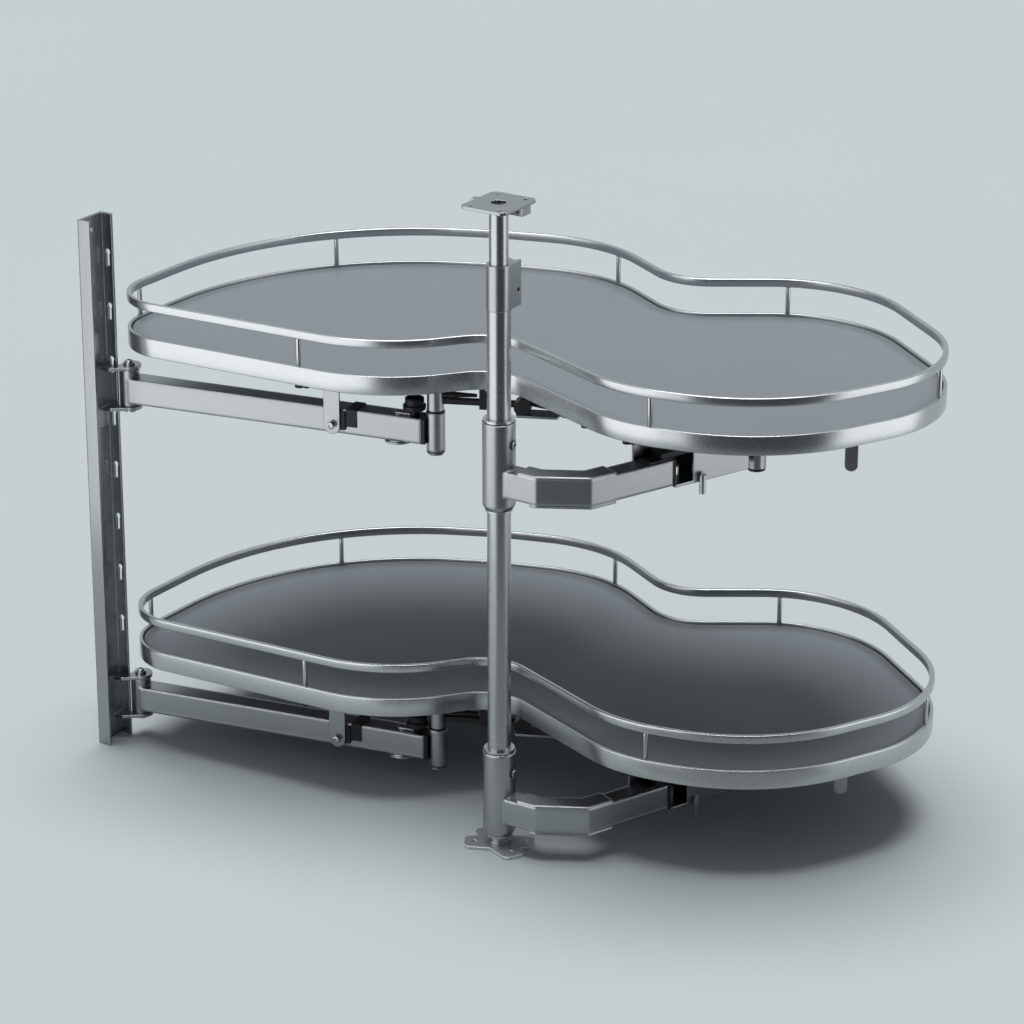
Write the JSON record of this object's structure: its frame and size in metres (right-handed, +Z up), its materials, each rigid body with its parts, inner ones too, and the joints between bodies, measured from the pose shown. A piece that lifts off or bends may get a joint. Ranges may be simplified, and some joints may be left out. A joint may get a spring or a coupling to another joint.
{
  "type": "corner cabinet tray fitting",
  "caption": "Swing-out corner cabinet fitting: kidney-shaped trays with guard rails on hinged arms, carried by a floor-to-ceiling column and a wall rail.",
  "frame": {"origin": "centre of the column on the cabinet floor, at the lower face of the floor plate", "axes": "+X along the cabinet front towards the far end of the right lobe, +Y into the cabinet, +Z up the column"},
  "size_m": [0.888, 0.4889, 0.718],
  "materials": {
    "bright_chrome": "polished chrome plate",
    "satin_steel": "satin nickel over steel",
    "black_plastic": "moulded, fine grain",
    "tray_board": "coated board, grey, matt with a fine grain",
    "dark_enamel": "dark enamel"
  },
  "bodies": {
    "column_and_rail": {"floor_plate": "dark_enamel", "column_foot": "satin_steel", "column_tube": "bright_chrome", "column_inner_tube": "bright_chrome", "height_clamp": "satin_steel", "clamp_screw": "black_plastic", "top_plate": "satin_steel", "wall_rail": "satin_steel", "rail_bracket_upper": "satin_steel", "rail_pin_upper": "bright_chrome", "rail_bracket_lower": "satin_steel", "rail_pin_lower": "bright_chrome"},
    "guide_arm_upper": {"guide_arm_upper": "satin_steel", "guide_cap_upper": "black_plastic", "guide_ring_upper": "black_plastic", "guide_knob_upper": "black_plastic", "guide_foot_upper": "satin_steel"},
    "post_arm_upper": {"post_arm_upper": "satin_steel", "post_bush_upper": "bright_chrome", "post_screw_upper": "black_plastic", "post_cap_upper": "black_plastic", "post_bracket_upper": "satin_steel", "post_barrel_upper": "satin_steel", "post_lever_upper": "bright_chrome"},
    "tray_upper": {"band_upper": "bright_chrome", "panel_upper": "tray_board", "guard_rail_upper": "bright_chrome", "rail_posts_upper": "bright_chrome", "tray_pivot_upper": "satin_steel", "tray_seat_upper": "satin_steel", "catch_strap_upper": "bright_chrome", "catch_pad_upper": "black_plastic", "damper_bar_upper": "black_plastic", "damper_body_upper": "black_plastic", "hanger_upper": "satin_steel", "edge_clips_upper": "black_plastic"},
    "guide_arm_lower": {"guide_arm_lower": "satin_steel", "guide_cap_lower": "black_plastic", "guide_ring_lower": "black_plastic", "guide_knob_lower": "black_plastic", "guide_foot_lower": "satin_steel"},
    "post_arm_lower": {"post_arm_lower": "satin_steel", "post_bush_lower": "bright_chrome", "post_screw_lower": "black_plastic", "post_cap_lower": "black_plastic", "post_bracket_lower": "satin_steel", "post_barrel_lower": "satin_steel", "post_lever_lower": "bright_chrome"},
    "tray_lower": {"band_lower": "bright_chrome", "panel_lower": "tray_board", "guard_rail_lower": "bright_chrome", "rail_posts_lower": "bright_chrome", "tray_pivot_lower": "satin_steel", "tray_seat_lower": "satin_steel", "catch_strap_lower": "bright_chrome", "catch_pad_lower": "black_plastic", "damper_bar_lower": "black_plastic", "damper_body_lower": "black_plastic", "hanger_lower": "satin_steel", "edge_clips_lower": "black_plastic"}
  },
  "joints": [
    {"name": "swing_out_upper", "type": "hinge", "parent": "column_and_rail", "child": "guide_arm_upper", "pos_m": [-0.498, 0.014, 0.4195], "axis": [0, 0, -1], "range_deg": [0, 18.9]},
    {"name": "tray_turn_upper", "type": "hinge", "parent": "guide_arm_upper", "child": "tray_upper", "pos_m": [-0.138, 0.087, 0.4195], "axis": [0, 0, 1], "range_deg": [0, 64]},
    {"name": "post_arm_turn_upper", "type": "hinge", "parent": "column_and_rail", "child": "post_arm_upper", "pos_m": [0, 0, 0.4195], "axis": [0, 0, 1], "range_deg": [0, 37.5]},
    {"name": "swing_out_lower", "type": "hinge", "parent": "column_and_rail", "child": "guide_arm_lower", "pos_m": [-0.498, 0.014, 0.0475], "axis": [0, 0, -1], "range_deg": [0, 18.9]},
    {"name": "tray_turn_lower", "type": "hinge", "parent": "guide_arm_lower", "child": "tray_lower", "pos_m": [-0.138, 0.087, 0.0475], "axis": [0, 0, 1], "range_deg": [0, 64]},
    {"name": "post_arm_turn_lower", "type": "hinge", "parent": "column_and_rail", "child": "post_arm_lower", "pos_m": [0, 0, 0.0475], "axis": [0, 0, 1], "range_deg": [0, 37.5]}
  ],
  "couplings": [
    {"joint": "tray_turn_upper", "follows": "swing_out_upper", "ratio": 3.38},
    {"joint": "post_arm_turn_upper", "follows": "swing_out_upper", "ratio": 1.98},
    {"joint": "tray_turn_lower", "follows": "swing_out_lower", "ratio": 3.38},
    {"joint": "post_arm_turn_lower", "follows": "swing_out_lower", "ratio": 1.98}
  ]
}
